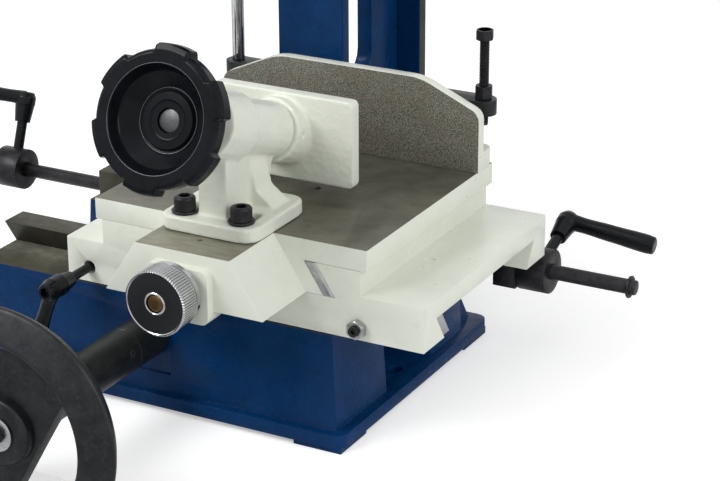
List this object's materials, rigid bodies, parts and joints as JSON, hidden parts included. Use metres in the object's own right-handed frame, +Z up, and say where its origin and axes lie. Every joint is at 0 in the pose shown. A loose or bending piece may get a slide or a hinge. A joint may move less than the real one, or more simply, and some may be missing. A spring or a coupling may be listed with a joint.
{
  "type": "benchtop mortiser",
  "caption": "Benchtop mortiser: cast base and column, cross table with handwheel feed, tilting screw vise and fence, side travel stops, and a sprung head with hollow chisel",
  "frame": {"origin": "on the bench plane, under the middle of the column and in line with the chisel in X", "axes": "+Z up, operator at -Y facing +Y, +X to the operator's right"},
  "size_m": [0.6624, 0.6142, 0.8263],
  "materials": {
    "blue_paint": "hammered gloss enamel",
    "cream_paint": "satin enamel, working faces ground bare",
    "ground_steel": "ground",
    "chromed_steel": "polished",
    "black_oxide": "black oxide, oiled",
    "dark_satin_steel": "dark satin",
    "dark_satin_iron": "dark satin",
    "motor_paint": "dark satin paint",
    "brass": "turned",
    "black_plastic": "gloss",
    "red_plastic": "gloss"
  },
  "bodies": {
    "frame": {"base_casting": "blue_paint", "column_casting": "blue_paint", "column_bolt_1": "black_oxide", "column_bolt_2": "black_oxide", "x_shaft_bush": "dark_satin_steel", "stop_rod": "ground_steel", "stop_rod_clip_left": "black_oxide", "stop_rod_clip_right": "black_oxide", "depth_stop_arm": "dark_satin_steel", "depth_stop_nut": "black_oxide", "gas_spring_rod": "chromed_steel", "feed_rack": "ground_steel"},
    "x_shaft": {"x_pinion_shaft": "ground_steel", "x_shaft_sleeve": "dark_satin_steel", "x_handwheel": "dark_satin_iron", "x_handwheel_washer": "ground_steel", "x_handwheel_screw": "black_oxide"},
    "saddle": {"saddle_casting": "cream_paint", "x_gib": "ground_steel", "y_gib": "ground_steel", "x_gib_nut": "black_oxide", "x_gib_screw": "black_oxide", "saddle_rack": "ground_steel", "y_feed_nut": "brass", "stop_block_left": "black_oxide", "stop_block_right": "black_oxide"},
    "x_lock": {"x_lock_lever": "black_plastic"},
    "table": {"table_casting": "cream_paint", "fence": "cream_paint", "fence_bolt_1": "black_oxide", "fence_bolt_2": "black_oxide", "vise_washer_1": "dark_satin_steel", "vise_washer_2": "dark_satin_steel", "vise_bolt_1": "black_oxide", "vise_bolt_2": "black_oxide"},
    "y_screw": {"y_knob": "chromed_steel", "y_leadscrew": "brass"},
    "vise": {"vise_body": "cream_paint"},
    "jaw": {"vise_jaw": "cream_paint"},
    "vise_screw": {"vise_screw": "ground_steel", "vise_handwheel": "black_plastic"},
    "collar_right": {"stop_collar_right": "black_oxide"},
    "lever_right": {"stop_lever_right": "black_plastic"},
    "collar_left": {"stop_collar_left": "black_oxide"},
    "lever_left": {"stop_lever_left": "black_plastic"},
    "stop_bolt": {"depth_stop_bolt": "black_oxide"},
    "head": {"head_casting": "blue_paint", "head_keeper_left": "dark_satin_steel", "head_keeper_right": "dark_satin_steel", "gas_spring_cylinder": "black_oxide", "motor": "motor_paint", "switch_box": "black_plastic", "chisel_bushing": "ground_steel", "hollow_chisel": "ground_steel"},
    "spindle": {"chuck_spindle": "ground_steel", "auger_bit": "ground_steel"},
    "door": {"chuck_door": "black_plastic"},
    "button": {"switch_button": "red_plastic"},
    "feed": {"feed_shaft": "ground_steel", "feed_handle": "black_oxide"}
  },
  "joints": [
    {"name": "saddle_slide", "type": "slide", "parent": "frame", "child": "saddle", "axis": [1, 0, 0], "range_m": [-0.158, 0]},
    {"name": "x_wheel_turn", "type": "hinge", "parent": "frame", "child": "x_shaft", "pos_m": [0, -0.4911, 0.059], "axis": [0, 1, 0], "range_deg": [-754.5, 0]},
    {"name": "x_lock_turn", "type": "hinge", "parent": "saddle", "child": "x_lock", "pos_m": [-0.05365, -0.3635, 0.102], "axis": [0, 1, 0], "range_deg": [0, 70]},
    {"name": "table_slide", "type": "slide", "parent": "saddle", "child": "table", "axis": [0, 1, 0], "range_m": [-0.06, 0.016]},
    {"name": "y_knob_turn", "type": "hinge", "parent": "table", "child": "y_screw", "pos_m": [0.07, -0.3948, 0.1335], "axis": [0, 1, 0], "range_deg": [-7200.5, 1920.5]},
    {"name": "vise_adjust", "type": "slide", "parent": "table", "child": "vise", "axis": [0, 1, 0], "range_m": [-0.018, 0.002]},
    {"name": "vise_jaw_slide", "type": "slide", "parent": "vise", "child": "jaw", "axis": [0, 0.9426, -0.3338], "range_m": [0, 0.022]},
    {"name": "vise_screw_turn", "type": "hinge", "parent": "jaw", "child": "vise_screw", "pos_m": [0.07, -0.3255, 0.2351], "axis": [0, 0.9426, -0.3338], "range_deg": [0, 1980.5]},
    {"name": "collar_right_slide", "type": "slide", "parent": "frame", "child": "collar_right", "axis": [1, 0, 0], "range_m": [0, 0.064]},
    {"name": "lever_right_turn", "type": "hinge", "parent": "collar_right", "child": "lever_right", "pos_m": [0.21935, -0.04649, 0.08915], "axis": [0, 0.9449, 0.3272], "range_deg": [-90, 90]},
    {"name": "collar_left_slide", "type": "slide", "parent": "frame", "child": "collar_left", "axis": [1, 0, 0], "range_m": [0, 0.045]},
    {"name": "lever_left_turn", "type": "hinge", "parent": "collar_left", "child": "lever_left", "pos_m": [-0.29065, -0.08085, 0.12406], "axis": [0, 0.342, 0.9397], "range_deg": [-90, 40]},
    {"name": "stop_bolt_slide", "type": "slide", "parent": "frame", "child": "stop_bolt", "axis": [0, 0, 1], "range_m": [-0.03, 0]},
    {"name": "head_slide", "type": "slide", "parent": "frame", "child": "head", "axis": [0, 0, 1], "range_m": [-0.182, 0], "stiffness_N_per_m": 385, "springref_m": 0.95},
    {"name": "feed_turn", "type": "hinge", "parent": "head", "child": "feed", "pos_m": [0.1723, -0.1075, 0.555], "axis": [1, 0, 0], "range_deg": [-0.5, 522]},
    {"name": "spindle_turn", "type": "hinge", "parent": "head", "child": "spindle", "pos_m": [0, -0.2255, 0.499], "axis": [0, 0, 1], "continuous": true},
    {"name": "chuck_door_turn", "type": "hinge", "parent": "head", "child": "door", "pos_m": [-0.042, -0.2738, 0.473], "axis": [0, 0, 1], "range_deg": [-110, 0]},
    {"name": "switch_press", "type": "slide", "parent": "head", "child": "button", "axis": [-1, 0, 0], "range_m": [0, 0.003], "stiffness_N_per_m": 300, "springref_m": -0.004}
  ],
  "couplings": [
    {"joint": "x_wheel_turn", "follows": "saddle_slide", "rad_per_m": 83.333},
    {"joint": "y_knob_turn", "follows": "table_slide", "rad_per_m": 2094.4},
    {"joint": "vise_screw_turn", "follows": "vise_jaw_slide", "rad_per_m": 1570.8},
    {"joint": "feed_turn", "follows": "head_slide", "rad_per_m": -50}
  ]
}
